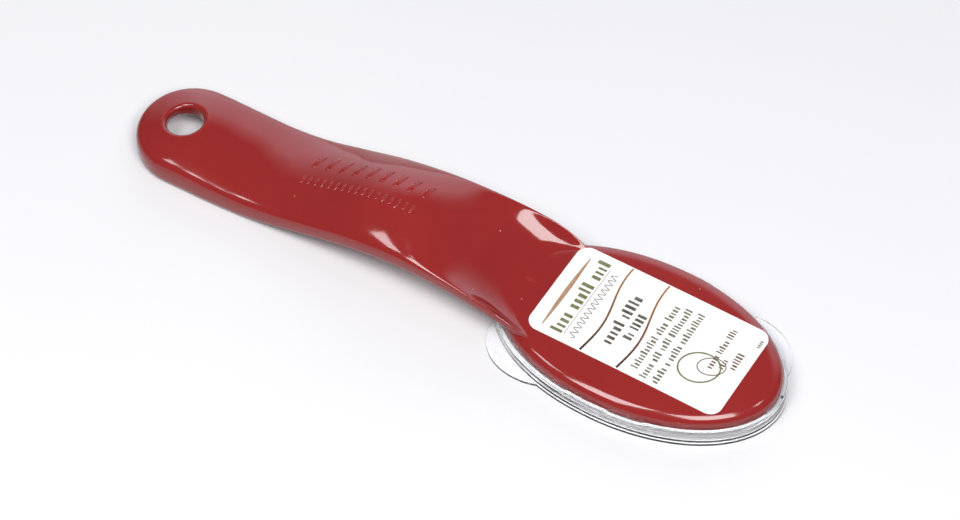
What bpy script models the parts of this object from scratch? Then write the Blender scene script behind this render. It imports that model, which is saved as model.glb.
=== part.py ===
"""Foot file: a one-sweep moulded handle and oval paddle, a stainless rasp blade under the paddle, and a clear cover.

Lengths are in metres. The paddle's centre is the modelling datum: -X runs back along the handle, +X to the
paddle's tip, +Z is up, and Z = 0 is the surface that the cover and the handle's end lie on. One empty carries
all the pieces from that datum to the middle of the object's box.
"""

import math

import bmesh
import bpy

MM = 0.001
GAP = 0.35 * MM

# Paddle, seen from above: an oval, very slightly fuller on the handle's side than at the tip.
HEAD_HALF_LENGTH = 53.2 * MM
HEAD_HALF_WIDTH = 32.0 * MM
TIP_ROUNDNESS = 2.0
NECK_ROUNDNESS = 2.1
HEAD_TOP = 12.5 * MM
HEAD_SHOULDER = 8.5 * MM
HEAD_BOTTOM = 6.0 * MM
HEAD_CROWN_LONG = 0.6 * MM
HEAD_CROWN_WIDE = 0.5 * MM
HEAD_EDGE = 5.2 * MM
HEAD_WALL = 2.4 * MM
HEAD_CEILING = 9.9 * MM

# Handle, station by station: x, half width, level of the side's middle, half thickness at the side,
# how far the top rises at the centre line (negative where it is a valley), how far the underside bulges
# there (negative where it is hollow), and how square the top's rise is across the handle (2 is a
# parabola, more keeps the valley's floor flat).
STATIONS = [
    (-204.0, 20.1, 3.9, 3.2, 2.4, -4.2, 2.0),
    (-184.0, 20.1, 5.3, 4.8, 4.8, -9.7, 2.0),
    (-165.0, 20.1, 4.9, 4.8, 4.4, -5.8, 2.0),
    (-151.0, 20.0, 5.3, 4.2, 4.3, -3.2, 2.0),
    (-137.0, 20.0, 7.6, 3.7, 4.6, -1.0, 2.0),
    (-123.0, 20.3, 11.5, 3.3, 5.6, 0.4, 2.0),
    (-104.0, 20.8, 16.4, 3.2, 7.2, 1.2, 2.0),
    (-84.0, 21.3, 19.1, 3.1, 5.4, 2.2, 2.0),
    (-65.0, 22.1, 18.8, 3.0, -2.4, 4.7, 2.4),
    (-51.0, 22.8, 17.1, 2.8, -6.5, 6.8, 4.0),
    (-42.0, 23.0, 14.9, 2.6, -5.7, 5.5, 8.0),
    (-35.0, 22.6, 11.5, 2.3, -2.4, 2.0, 12.0),
    (-28.0, 22.0, 7.4, 2.0, 0.9, 0.0, 12.0),
]
WIDTH, MIDDLE, THICKNESS, CROWN, BULGE, SQUARENESS = range(1, 7)
HANDLE_END = STATIONS[0][0] * MM
HANDLE_INNER_END = STATIONS[-1][0] * MM
END_RADIUS = STATIONS[0][WIDTH] * MM
HANDLE_PITCH = 6.0 * MM
END_STEPS = 7
ACROSS_STEPS = 8
EDGE_STEPS = 4
EDGE_SQUARENESS = 0.5

# Hanging hole near the handle's end, with a rounded rim.
HOLE_X = -186.2 * MM
HOLE_RADIUS = 6.8 * MM
HOLE_RIM_TOP = 2.0 * MM
HOLE_RIM_LOW = 0.9 * MM
HOLE_TOP = 14.8 * MM
HOLE_LOW = 9.9 * MM
HOLE_TILT = math.radians(-5.0)

# Hollow in the handle, and the plate let into its underside.
BACK_START = -175.0 * MM
BACK_END = -58.0 * MM
BACK_INSET = 3.0 * MM
BACK_THICKNESS = 1.7 * MM
BACK_REBATE = 2.05 * MM
BACK_CAP = 14.0 * MM
HOLLOW_LEDGE = 2.6 * MM
HANDLE_WALL = 2.4 * MM

# Blade: a stainless pan with a flange, held up against the paddle's ceiling by a ring.
BLADE_INSET = 6.05 * MM
BLADE_SHEET = 0.45 * MM
BLADE_FACE = 4.6 * MM
BLADE_EDGE = 1.25 * MM
FLANGE_INSET = 4.95 * MM
FLANGE_TOP = HEAD_CEILING - GAP
RING_BOTTOM = HEAD_BOTTOM + 0.1 * MM
RING_STEP = FLANGE_TOP - BLADE_SHEET - GAP

# Clear snap-on cover: floor with a flange and two finger tabs, low wall, raised clips, ribs inside.
COVER_FLOOR = 1.2 * MM
COVER_FLANGE = 2.2 * MM
COVER_WALL_INNER = 0.4 * MM
COVER_WALL_OUTER = 1.5 * MM
COVER_WALL_TOP = 6.4 * MM
CLIP_TOP = 7.2 * MM
CLIP_ARCS = [(-102, -85), (-71, -12), (4, 30), (78, 95), (109, 140)]
TAB_REACH = 5.6 * MM
TAB_ANGLES = (45, 225)
TAB_HALF_ANGLE = 20
RIB_ANGLES = (70, 102, 150, 180)
RIB_HALF_ANGLE = 1.0
RIB_DEPTH = 1.6 * MM
RIB_TOP = HEAD_BOTTOM - GAP

# Label on the paddle's top.
LABEL_LENGTH = 76.0 * MM
LABEL_WIDTH = 40.5 * MM
LABEL_CORNER = 5.0 * MM
LABEL_THICKNESS = 0.2 * MM
LABEL_X = 2.8 * MM
LABEL_Y = 1.2 * MM
LABEL_TURN = math.radians(-2.0)

OVAL_STEPS = 72
DATUM_X = 74.3 * MM
SHARP_ANGLE = math.radians(35)


# ---------------------------------------------------------------- mesh helpers


def clear_scene():
    for thing in list(bpy.data.objects):
        bpy.data.objects.remove(thing, do_unlink=True)


def material(name, colour, roughness, metallic=0.0, alpha=1.0):
    made = bpy.data.materials.new(name)
    made.use_nodes = True
    shader = made.node_tree.nodes["Principled BSDF"]
    shader.inputs["Base Color"].default_value = (*colour, 1.0)
    shader.inputs["Roughness"].default_value = roughness
    shader.inputs["Metallic"].default_value = metallic
    shader.inputs["Alpha"].default_value = alpha
    return made


def make_object(name, loops, surface=None, parent=None, closed=False):
    """Closed body through loops of equal length. Its two ends are filled, or joined when closed is set."""
    mesh = bmesh.new()
    rows = [[mesh.verts.new(point) for point in loop] for loop in loops]
    pairs = list(zip(rows, rows[1:]))
    if closed:
        pairs.append((rows[-1], rows[0]))
    for low, high in pairs:
        for i in range(len(low)):
            j = (i + 1) % len(low)
            mesh.faces.new((low[i], low[j], high[j], high[i]))
    if not closed:
        mesh.faces.new(rows[0])
        mesh.faces.new(rows[-1])
    bmesh.ops.remove_doubles(mesh, verts=mesh.verts, dist=1e-6)
    bmesh.ops.dissolve_degenerate(mesh, edges=mesh.edges, dist=1e-7)
    bmesh.ops.recalc_face_normals(mesh, faces=mesh.faces)
    data = bpy.data.meshes.new(name)
    mesh.to_mesh(data)
    mesh.free()
    data.shade_smooth()
    data.set_sharp_from_angle(angle=SHARP_ANGLE)
    thing = bpy.data.objects.new(name, data)
    bpy.context.scene.collection.objects.link(thing)
    thing.parent = parent
    if surface:
        data.materials.append(surface)
    return thing


def as_helper(thing):
    thing.hide_render = True
    thing.display_type = "WIRE"
    return thing


def combine(target, other, operation):
    step = target.modifiers.new(other.name, "BOOLEAN")
    step.operation = operation
    step.solver = "EXACT"
    step.object = other


# ---------------------------------------------------------------- shape functions


def station_value(x, column):
    """Smooth curve through one column of the handle's stations, in metres."""
    rows = [(row[0] * MM, row[column] * MM) for row in STATIONS]
    x = min(max(x, rows[0][0]), rows[-1][0])
    k = max(i for i in range(len(rows) - 1) if rows[i][0] <= x)

    def slope(i):
        low, high = rows[max(i - 1, 0)], rows[min(i + 1, len(rows) - 1)]
        return (high[1] - low[1]) / (high[0] - low[0])

    (x0, y0), (x1, y1) = rows[k], rows[k + 1]
    span = x1 - x0
    t = (x - x0) / span
    return (
        y0 * (2 * t**3 - 3 * t**2 + 1)
        + y1 * (3 * t**2 - 2 * t**3)
        + span * slope(k) * (t**3 - 2 * t**2 + t)
        + span * slope(k + 1) * (t**3 - t**2)
    )


def handle_half_width(x):
    """Half width at x: the stations' curve, closed by a half circle at the handle's end."""
    width = station_value(x, WIDTH)
    back = HANDLE_END + END_RADIUS - x
    if back <= 0:
        return width
    return math.sqrt(max(END_RADIUS**2 - back**2, 0.0))


def across(y, half_span, power):
    """1 on the centre line, falling to 0 at half_span."""
    return 1 - min(abs(y) / half_span, 1.0) ** power


def handle_middle(x):
    return station_value(x, MIDDLE)


def handle_top(x, y):
    edge = handle_middle(x) + station_value(x, THICKNESS)
    power = station_value(x, SQUARENESS) / MM
    return edge + station_value(x, CROWN) * across(y, station_value(x, WIDTH), power)


def handle_bottom(x, y):
    edge_radius = station_value(x, THICKNESS)
    land = station_value(x, WIDTH) - edge_radius
    return handle_middle(x) - edge_radius - station_value(x, BULGE) * across(y, land, 2)


def head_top(x, y):
    fall = HEAD_CROWN_LONG * (x / HEAD_HALF_LENGTH) ** 2
    return HEAD_TOP - fall - HEAD_CROWN_WIDE * (y / HEAD_HALF_WIDTH) ** 2


def oval_point(degrees, inset=0.0):
    """Point of the paddle's outline, moved in along its normal. 0 degrees is the tip, 90 the +Y side."""
    c, s = math.cos(math.radians(degrees)), math.sin(math.radians(degrees))
    power = TIP_ROUNDNESS if c >= 0 else NECK_ROUNDNESS
    unit_x = math.copysign(abs(c) ** (2 / power), c)
    unit_y = math.copysign(abs(s) ** (2 / power), s)
    normal_x = math.copysign(abs(unit_x) ** (power - 1), c) / HEAD_HALF_LENGTH
    normal_y = math.copysign(abs(unit_y) ** (power - 1), s) / HEAD_HALF_WIDTH
    length = math.hypot(normal_x, normal_y)
    x = HEAD_HALF_LENGTH * unit_x - inset * normal_x / length
    y = HEAD_HALF_WIDTH * unit_y - inset * normal_y / length
    return x, y


def even_angles():
    return [360 * i / OVAL_STEPS for i in range(OVAL_STEPS)]


def oval_ring(inset, z, angles=None):
    """Loop round the paddle. inset and z are lengths, or functions of the angle."""
    ring = []
    for degrees in angles or even_angles():
        step_in = inset(degrees) if callable(inset) else inset
        level = z(degrees) if callable(z) else z
        ring.append((*oval_point(degrees, step_in), level))
    return ring


# ---------------------------------------------------------------- handle and paddle


def handle_outline():
    """(x, half width, inward normal) from the handle's end to where it runs into the paddle."""
    arc = [math.radians(90 * i / END_STEPS) for i in range(END_STEPS)]
    centre = HANDLE_END + END_RADIUS
    points = [(centre - END_RADIUS * math.cos(a), END_RADIUS * math.sin(a)) for a in arc]
    steps = round((HANDLE_INNER_END - centre) / HANDLE_PITCH)
    for i in range(steps + 1):
        x = centre + (HANDLE_INNER_END - centre) * i / steps
        points.append((x, handle_half_width(x)))
    outline = []
    for i, (x, y) in enumerate(points):
        if i == 0:
            normal = (1.0, 0.0)
        elif i == len(points) - 1:
            normal = (0.0, -1.0)
        else:
            dx = points[i + 1][0] - points[i - 1][0]
            dy = points[i + 1][1] - points[i - 1][1]
            normal = (dy / math.hypot(dx, dy), -dx / math.hypot(dx, dy))
        outline.append((x, y, *normal))
    return outline


def handle_section(x, y, normal_x, normal_y):
    """One closed loop across the handle, with round sides."""
    radius = station_value(x, THICKNESS)
    turn = [math.pi / 2 * i / EDGE_STEPS for i in range(EDGE_STEPS + 1)]

    def side(sign, surface, angle):
        inset = radius * (1 - math.cos(angle) ** EDGE_SQUARENESS)
        px, py = x + normal_x * inset, max(y + normal_y * inset, 0.0)
        middle = handle_middle(px)
        return px, sign * py, middle + (surface(px, py) - middle) * math.sin(angle) ** EDGE_SQUARENESS

    def span(surface, start, end):
        points = []
        for i in range(1, ACROSS_STEPS):
            py = start[1] + (end[1] - start[1]) * i / ACROSS_STEPS
            points.append((start[0], py, surface(start[0], py)))
        return points

    top = [side(1, handle_top, a) for a in turn]
    top += span(handle_top, side(1, handle_top, turn[-1]), side(-1, handle_top, turn[-1]))
    top += [side(-1, handle_top, a) for a in reversed(turn)]
    low = [side(-1, handle_bottom, a) for a in turn[1:]]
    low += span(handle_bottom, side(-1, handle_bottom, turn[-1]), side(1, handle_bottom, turn[-1]))
    low += [side(1, handle_bottom, a) for a in reversed(turn[1:])]
    return top + low


def paddle_loops():
    """The paddle's outside: flat underneath, straight wall, round shoulder, slightly crowned top."""
    loops = [oval_ring(0.0, HEAD_BOTTOM), oval_ring(0.0, HEAD_SHOULDER)]
    for i in range(1, EDGE_STEPS + 2):
        angle = math.pi / 2 * i / (EDGE_STEPS + 1)
        ring = oval_ring(HEAD_EDGE * (1 - math.cos(angle)), 0.0)
        rise = math.sin(angle)
        loops.append([(x, y, HEAD_SHOULDER + (head_top(x, y) - HEAD_SHOULDER) * rise) for x, y, _ in ring])
    shoulder = loops[-1]
    for scale in (0.75, 0.5, 0.25):
        loops.append([(x * scale, y * scale, head_top(x * scale, y * scale)) for x, y, _ in shoulder])
    return loops


def inset_outline(start, end, inset, cap):
    """(x, half width) of a pocket that follows the handle, with rounded ends."""
    points = []
    rounds = [math.radians(90 * i / END_STEPS) for i in range(1, END_STEPS)]
    xs = [start + cap * (1 - math.cos(a)) for a in rounds]
    steps = round((end - start - 2 * cap) / HANDLE_PITCH)
    xs += [start + cap + (end - start - 2 * cap) * i / steps for i in range(steps + 1)]
    xs += [end - cap * (1 - math.cos(a)) for a in reversed(rounds)]
    for x in xs:
        beyond = max(start + cap - x, x - (end - cap), 0.0) / cap
        points.append((x, (handle_half_width(x) - inset) * math.sqrt(1 - beyond**2)))
    return points


def pocket_loops(outline, top, bottom):
    """Loops across a pocket or a plate between two surfaces."""
    loops = []
    for x, half in outline:
        ys = [half * (1 - 2 * i / ACROSS_STEPS) for i in range(ACROSS_STEPS + 1)]
        loop = [(x, y, top(x, y)) for y in ys]
        loop += [(x, y, bottom(x, y)) for y in reversed(ys)]
        loops.append(loop)
    return loops


def hole_cutter(root):
    """Spool for the hanging hole: a bore, opening out in a quarter round at the top and at the bottom."""
    top, low = 0.0, HOLE_LOW - HOLE_TOP
    profile = [(HOLE_RADIUS + HOLE_RIM_TOP, top + 3 * MM)]
    for i in range(EDGE_STEPS + 1):
        angle = math.pi / 2 * (1 - i / EDGE_STEPS)
        radius = HOLE_RADIUS + HOLE_RIM_TOP * (1 - math.cos(angle))
        profile.append((radius, top - HOLE_RIM_TOP * (1 - math.sin(angle))))
    for i in range(EDGE_STEPS + 1):
        angle = math.pi / 2 * i / EDGE_STEPS
        radius = HOLE_RADIUS + HOLE_RIM_LOW * (1 - math.cos(angle))
        profile.append((radius, low + HOLE_RIM_LOW * (1 - math.sin(angle))))
    profile.append((HOLE_RADIUS + HOLE_RIM_LOW, low - 3 * MM))
    loops = []
    for radius, z in profile:
        turn = [2 * math.pi * i / 32 for i in range(32)]
        loops.append([(radius * math.cos(a), radius * math.sin(a), z) for a in turn])
    cutter = as_helper(make_object("hang_hole_cutter", loops, parent=root))
    cutter.location = (HOLE_X, 0.0, HOLE_TOP)
    cutter.rotation_euler = (0.0, HOLE_TILT, 0.0)
    return cutter


def make_body(root, red):
    loops = [handle_section(*station) for station in handle_outline()]
    body = make_object("handle_body", loops, red, root)
    paddle = as_helper(make_object("paddle_blank", paddle_loops(), parent=root))
    combine(body, paddle, "UNION")

    chamber = [oval_ring(HEAD_WALL, HEAD_BOTTOM - 2 * MM), oval_ring(HEAD_WALL, HEAD_CEILING)]
    combine(body, as_helper(make_object("chamber_cutter", chamber, parent=root)), "DIFFERENCE")

    rebate = pocket_loops(
        inset_outline(BACK_START, BACK_END, BACK_INSET, BACK_CAP),
        lambda x, y: handle_bottom(x, y) + BACK_REBATE,
        lambda x, y: handle_bottom(x, y) - 2 * MM,
    )
    combine(body, as_helper(make_object("rebate_cutter", rebate, parent=root)), "DIFFERENCE")

    hollow = pocket_loops(
        inset_outline(
            BACK_START + HOLLOW_LEDGE, BACK_END - HOLLOW_LEDGE, BACK_INSET + HOLLOW_LEDGE, BACK_CAP
        ),
        lambda x, y: handle_top(x, y) - HANDLE_WALL,
        lambda x, y: handle_bottom(x, y) - 1 * MM,
    )
    combine(body, as_helper(make_object("hollow_cutter", hollow, parent=root)), "DIFFERENCE")
    combine(body, hole_cutter(root), "DIFFERENCE")
    return body


def make_handle_back(root, red):
    loops = pocket_loops(
        inset_outline(BACK_START + GAP, BACK_END - GAP, BACK_INSET + GAP, BACK_CAP),
        lambda x, y: handle_bottom(x, y) + BACK_THICKNESS,
        handle_bottom,
    )
    return make_object("handle_back", loops, red, root)


# ---------------------------------------------------------------- blade and its ring


def make_blade(root, steel):
    """Pan of thin sheet: face, rolled edge, upstanding wall and an outward flange at the wall's top."""
    inner = BLADE_INSET + BLADE_SHEET
    profile = [(inner + BLADE_EDGE, BLADE_FACE + BLADE_SHEET)]
    profile += [(inner + 0.3 * BLADE_EDGE, BLADE_FACE + BLADE_SHEET + 0.3 * BLADE_EDGE)]
    profile += [(inner, BLADE_FACE + BLADE_SHEET + BLADE_EDGE), (inner, FLANGE_TOP)]
    profile += [(FLANGE_INSET, FLANGE_TOP), (FLANGE_INSET, FLANGE_TOP - BLADE_SHEET)]
    profile += [(BLADE_INSET, FLANGE_TOP - BLADE_SHEET), (BLADE_INSET, BLADE_FACE + BLADE_EDGE)]
    profile += [(BLADE_INSET + 0.3 * BLADE_EDGE, BLADE_FACE + 0.3 * BLADE_EDGE)]
    profile += [(BLADE_INSET + BLADE_EDGE, BLADE_FACE)]
    loops = [oval_ring(inset, z) for inset, z in profile]
    return make_object("rasp_blade", loops, steel, root)


def make_blade_ring(root, red):
    """Ring pressed into the paddle's wall, with the step that the blade's flange sits on."""
    outer, inner = HEAD_WALL + GAP, BLADE_INSET - GAP
    step = FLANGE_INSET - GAP
    profile = [(outer, RING_BOTTOM), (outer, FLANGE_TOP), (step, FLANGE_TOP)]
    profile += [(step, RING_STEP), (inner, RING_STEP), (inner, RING_BOTTOM)]
    loops = [oval_ring(inset, z) for inset, z in profile]
    return make_object("blade_ring", loops, red, root, closed=True)


# ---------------------------------------------------------------- cover


def turned_between(degrees, start, end):
    """True where an angle lies in an arc, whatever turn each is counted in."""
    return (degrees - start) % 360 <= end - start


def cover_angles():
    """Even steps, and a pair of close steps at each end of a clip and a rib, where the wall changes abruptly."""
    ends = [edge for arc in CLIP_ARCS for edge in arc]
    ends += [centre + side * RIB_HALF_ANGLE for centre in RIB_ANGLES for side in (-1, 1)]
    angles = {round(edge + nudge, 3) % 360 for edge in ends for nudge in (-0.2, 0.2)}
    for even in even_angles():
        if all(abs((even - edge + 180) % 360 - 180) > 0.8 for edge in ends):
            angles.add(even)
    return sorted(angles)


def cover_wall_top(degrees):
    clipped = any(turned_between(degrees, *arc) for arc in CLIP_ARCS)
    return CLIP_TOP if clipped else COVER_WALL_TOP


def cover_rib(degrees):
    ribbed = any(
        turned_between(degrees, centre - RIB_HALF_ANGLE, centre + RIB_HALF_ANGLE) for centre in RIB_ANGLES
    )
    return RIB_DEPTH - COVER_WALL_INNER if ribbed else -COVER_WALL_INNER


def cover_flange(degrees):
    """The flange's reach, with the two finger tabs swelling out of it at opposite corners."""
    reach = COVER_FLANGE
    for centre in TAB_ANGLES:
        offset = ((degrees - centre + 180) % 360 - 180) / TAB_HALF_ANGLE
        if abs(offset) < 1:
            reach += TAB_REACH * math.cos(offset * math.pi / 2) ** 0.8
    return -reach


def make_cover(root, clear):
    angles = cover_angles()
    profile = [(cover_rib, COVER_FLOOR), (cover_rib, RIB_TOP)]
    profile += [(-COVER_WALL_INNER, RIB_TOP + 0.05 * MM), (-COVER_WALL_INNER, cover_wall_top)]
    profile += [(-COVER_WALL_OUTER, cover_wall_top), (-COVER_WALL_OUTER, COVER_FLOOR)]
    profile += [(cover_flange, COVER_FLOOR), (cover_flange, 0.3 * MM)]
    profile += [(lambda degrees: cover_flange(degrees) + 0.3 * MM, 0.0)]
    loops = [oval_ring(inset, z, angles) for inset, z in profile]
    return make_object("protective_cover", loops, clear, root)


# ---------------------------------------------------------------- label


def make_label(root, paper):
    """Thin sticker with round corners, following the paddle's crown."""
    half_length, half_width = LABEL_LENGTH / 2, LABEL_WIDTH / 2
    corner_xs = [LABEL_CORNER * (1 - math.cos(math.radians(a))) for a in (8, 30, 60, 90)]
    xs = [-half_length + dx for dx in corner_xs]
    straight = LABEL_LENGTH - 2 * LABEL_CORNER
    xs += [-half_length + LABEL_CORNER + straight * i / 8 for i in range(1, 8)]
    xs += [half_length - dx for dx in reversed(corner_xs)]
    outline = []
    for x in xs:
        beyond = max(abs(x) - (half_length - LABEL_CORNER), 0.0)
        half = half_width - LABEL_CORNER + math.sqrt(LABEL_CORNER**2 - beyond**2)
        outline.append((x, half))
    c, s = math.cos(LABEL_TURN), math.sin(LABEL_TURN)
    loops = []
    for x, half in outline:
        ys = [half * (1 - 2 * i / ACROSS_STEPS) for i in range(ACROSS_STEPS + 1)]
        places = [(LABEL_X + c * x - s * y, LABEL_Y + s * x + c * y) for y in ys]
        loop = [(px, py, head_top(px, py) + GAP + LABEL_THICKNESS) for px, py in places]
        loop += [(px, py, head_top(px, py) + GAP) for px, py in reversed(places)]
        loops.append(loop)
    return make_object("label", loops, paper, root)


def main():
    clear_scene()
    root = bpy.data.objects.new("datum", None)
    root.location = (DATUM_X, 0.0, 0.0)
    bpy.context.scene.collection.objects.link(root)

    red = material("red_abs", (0.34, 0.024, 0.022), 0.18)
    make_body(root, red)
    make_handle_back(root, material("red_abs_back", (0.32, 0.022, 0.02), 0.25))
    make_blade_ring(root, material("red_abs_ring", (0.31, 0.021, 0.02), 0.3))
    make_blade(root, material("stainless", (0.6, 0.6, 0.6), 0.28, metallic=1.0))
    make_cover(root, material("clear_styrene", (0.93, 0.94, 0.95), 0.06, alpha=0.35))
    make_label(root, material("label_paper", (0.85, 0.85, 0.82), 0.5))


main()
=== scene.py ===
"""Looks of the foot file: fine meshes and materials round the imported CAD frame, with camera and studio.

Lengths are in metres. Shapes are worked out with the paddle's centre as the datum, as in the CAD, and every
piece's object sits at that datum in the row frame. The paddle's outline runs by angle: 0 is the tip, and 90
degrees is the +Y side.
"""

import math
import random

import bmesh
import bpy
from mathutils import Matrix, Vector
from mathutils.geometry import delaunay_2d_cdt


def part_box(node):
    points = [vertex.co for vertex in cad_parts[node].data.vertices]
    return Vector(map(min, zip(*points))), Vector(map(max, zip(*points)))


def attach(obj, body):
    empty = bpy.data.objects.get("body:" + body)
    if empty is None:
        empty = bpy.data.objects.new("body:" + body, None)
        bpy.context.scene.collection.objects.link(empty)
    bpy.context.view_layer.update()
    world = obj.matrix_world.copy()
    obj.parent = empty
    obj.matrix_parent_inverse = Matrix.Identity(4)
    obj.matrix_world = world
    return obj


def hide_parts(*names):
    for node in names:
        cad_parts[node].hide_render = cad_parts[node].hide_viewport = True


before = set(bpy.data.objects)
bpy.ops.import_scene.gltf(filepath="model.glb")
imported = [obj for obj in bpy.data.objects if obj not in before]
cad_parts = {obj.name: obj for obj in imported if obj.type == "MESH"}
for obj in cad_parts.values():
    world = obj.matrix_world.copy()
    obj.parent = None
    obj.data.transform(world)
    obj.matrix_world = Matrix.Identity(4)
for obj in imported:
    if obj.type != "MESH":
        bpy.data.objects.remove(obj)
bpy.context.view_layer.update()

MM = 0.001

# Paddle, seen from above: an oval, very slightly fuller on the handle's side than at the tip.
HEAD_HALF_LENGTH = 53.2 * MM
HEAD_HALF_WIDTH = 32.0 * MM
TIP_ROUNDNESS = 2.0
NECK_ROUNDNESS = 2.1
HEAD_TOP = 12.5 * MM
HEAD_SHOULDER = 8.5 * MM
HEAD_BOTTOM = 6.0 * MM
HEAD_CROWN_LONG = 0.6 * MM
HEAD_CROWN_WIDE = 0.5 * MM
HEAD_EDGE = 5.2 * MM
HEAD_FOOT = 0.5 * MM
HEAD_WALL = 2.4 * MM
HEAD_CEILING = 9.9 * MM
# Size of each ring on the paddle's top, as a share of the shoulder's ring.
HEAD_TOP_RINGS = (0.96, 0.88, 0.76, 0.62, 0.46, 0.3, 0.14)
DATUM = Vector((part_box("handle_body")[1].x - HEAD_HALF_LENGTH, 0.0, 0.0))

# Handle, station by station, in millimetres: x, half width, level of the side's middle, half thickness at
# the side, how far the top rises at the centre line (negative where it is a valley), how far the underside
# bulges there (negative where it is hollow), and how square the top's rise is across the handle.
STATIONS = [
    (-204.0, 20.1, 3.9, 3.2, 2.4, -4.2, 2.0),
    (-184.0, 20.1, 5.3, 4.8, 4.8, -9.7, 2.0),
    (-165.0, 20.1, 4.9, 4.8, 4.4, -5.8, 2.0),
    (-151.0, 20.0, 5.3, 4.2, 4.3, -3.2, 2.0),
    (-137.0, 20.0, 7.6, 3.7, 4.6, -1.0, 2.0),
    (-123.0, 20.3, 11.5, 3.3, 5.6, 0.4, 2.0),
    (-104.0, 20.8, 16.4, 3.2, 7.2, 1.2, 2.0),
    (-84.0, 21.3, 19.1, 3.1, 5.4, 2.2, 2.0),
    (-65.0, 22.1, 18.8, 3.0, -2.4, 4.7, 2.4),
    (-51.0, 22.8, 17.1, 2.8, -6.5, 6.8, 4.0),
    (-42.0, 23.0, 14.9, 2.6, -5.7, 5.5, 8.0),
    (-35.0, 22.6, 11.5, 2.3, -2.4, 2.0, 12.0),
    (-28.0, 22.0, 7.4, 2.0, 0.9, 0.0, 12.0),
]
WIDTH, MIDDLE, THICKNESS, CROWN, BULGE, SQUARENESS = range(1, 7)
HANDLE_END = STATIONS[0][0] * MM
HANDLE_INNER_END = STATIONS[-1][0] * MM
END_RADIUS = STATIONS[0][WIDTH] * MM
HANDLE_PITCH = 1.25 * MM
END_STEPS = 30
ACROSS_STEPS = 44
EDGE_STEPS = 10
# Power on the cosine and sine of the rolled sides: 1 is a half ellipse, and less is squarer.
EDGE_SQUARENESS = 0.5
OVAL_STEPS = 240

# Hanging hole, with a rounded rim that follows the surface.
HOLE_X = -186.2 * MM
HOLE_RADIUS = 6.8 * MM
HOLE_RIM_TOP = 2.0 * MM
HOLE_RIM_LOW = 0.9 * MM
HOLE_STEPS = 96
HOLE_OVERSHOOT = 0.04 * MM

# How far a cutter goes past the surface that it cuts through.
CUTTER_REACH = 2.0 * MM
HOLLOW_REACH = 1.0 * MM

# Hollow in the handle, and the plate let into its underside.
BACK_START = -175.0 * MM
BACK_END = -58.0 * MM
BACK_INSET = 3.0 * MM
BACK_GAP = 0.3 * MM
BACK_THICKNESS = 1.7 * MM
BACK_REBATE = 2.05 * MM
BACK_CAP = 14.0 * MM
BACK_EDGE = 0.4 * MM
BACK_ACROSS_STEPS = 32
POCKET_PITCH = 2.0 * MM
POCKET_CAP_STEPS = 16
POCKET_ACROSS_STEPS = 24
HOLLOW_LEDGE = 2.6 * MM
HANDLE_WALL = 2.4 * MM

# Raised grip bars moulded into the top of the grip: two rows, in millimetres.
BAR_ROWS = [
    {"start": -133.0, "end": -88.0, "y": 5.6, "length": 7.6, "width": 2.2, "pitch": 5.4},
    {"start": -134.0, "end": -89.0, "y": -4.2, "length": 3.8, "width": 1.3, "pitch": 2.9},
]
BAR_HEIGHT = 0.3 * MM
BAR_ROOT = 0.35 * MM
BAR_SLANT = math.radians(-12)
BAR_END_STEPS = 8
# Each ring of a bar: its share of the bar's width, and its height over the grip.
BAR_RINGS = [
    (1.0, -BAR_ROOT),
    (1.0, 0.0),
    (0.93, 0.5 * BAR_HEIGHT),
    (0.75, 0.87 * BAR_HEIGHT),
    (0.4, BAR_HEIGHT),
]

# Blade and ring.
BLADE_INSET = 6.05 * MM
BLADE_SHEET = 0.4 * MM
BLADE_FACE = 4.7 * MM
BLADE_EDGE = 1.25 * MM
BLADE_EDGE_STEPS = 6
BLADE_FOLD = 0.4 * MM
FLANGE_INSET = 4.95 * MM
FLANGE_TOP = HEAD_CEILING - 0.35 * MM
RING_GAP = 0.3 * MM
RING_BOTTOM = HEAD_BOTTOM + 0.1 * MM
RING_STEP = FLANGE_TOP - BLADE_SHEET - RING_GAP
RING_EASE = 0.3 * MM
TOOTH_PITCH_LONG = 3.7 * MM
TOOTH_PITCH_WIDE = 1.75 * MM
TOOTH_LENGTH = 1.15 * MM
TOOTH_FRONT = 0.42 * TOOTH_LENGTH
TOOTH_WIDTH = 1.05 * MM
TOOTH_COLLAR = 0.3 * MM
TOOTH_LIP = 0.38 * MM
TOOTH_STEPS = 12
TOOTH_MARGIN = 2.4 * MM

# Clear cover: floor with a flange and two finger tabs, low wall, raised clips, ribs inside. Its arcs and
# angles run in degrees round the paddle.
COVER_FLOOR = 1.2 * MM
COVER_FLANGE = 2.2 * MM
COVER_WALL_INNER = 0.4 * MM
COVER_WALL_OUTER = 1.5 * MM
COVER_WALL_TOP = 6.4 * MM
CLIP_TOP = 7.2 * MM
CLIP_ARCS = [(-102, -85), (-71, -12), (4, 30), (78, 95), (109, 140)]
CLIP_RAMP = 1.0
TAB_REACH = 5.6 * MM
TAB_ANGLES = (45, 225)
TAB_HALF_ANGLE = 20
RIB_ANGLES = (70, 102, 150, 180)
RIB_HALF_ANGLE = 1.0
RIB_RAMP = 0.6
RIB_DEPTH = 1.6 * MM
RIB_TOP = HEAD_BOTTOM - 0.35 * MM
RIB_EASE = 0.1 * MM
COVER_STEPS = 720
COVER_ROUND = 0.22 * MM
COVER_ROUND_STEPS = 4

# Label and its print, in its own directions: u along it from the handle's side, v across it towards +Y.
LABEL_LENGTH = 76.2 * MM
LABEL_WIDTH = 40.7 * MM
LABEL_CORNER = 4.6 * MM
LABEL_GAP = 0.03 * MM
LABEL_THICKNESS = 0.16 * MM
LABEL_CENTRE = (2.3 * MM, 1.3 * MM)
LABEL_TURN = math.radians(-1.8)
LABEL_ACROSS_STEPS = 40
LABEL_LONG_STEPS = 60
LABEL_CORNER_STEPS = 10
LABEL_END_STEP = 0.02 * MM
INK_RISE = 0.02 * MM
INK_DEPTH = 0.03 * MM

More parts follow.
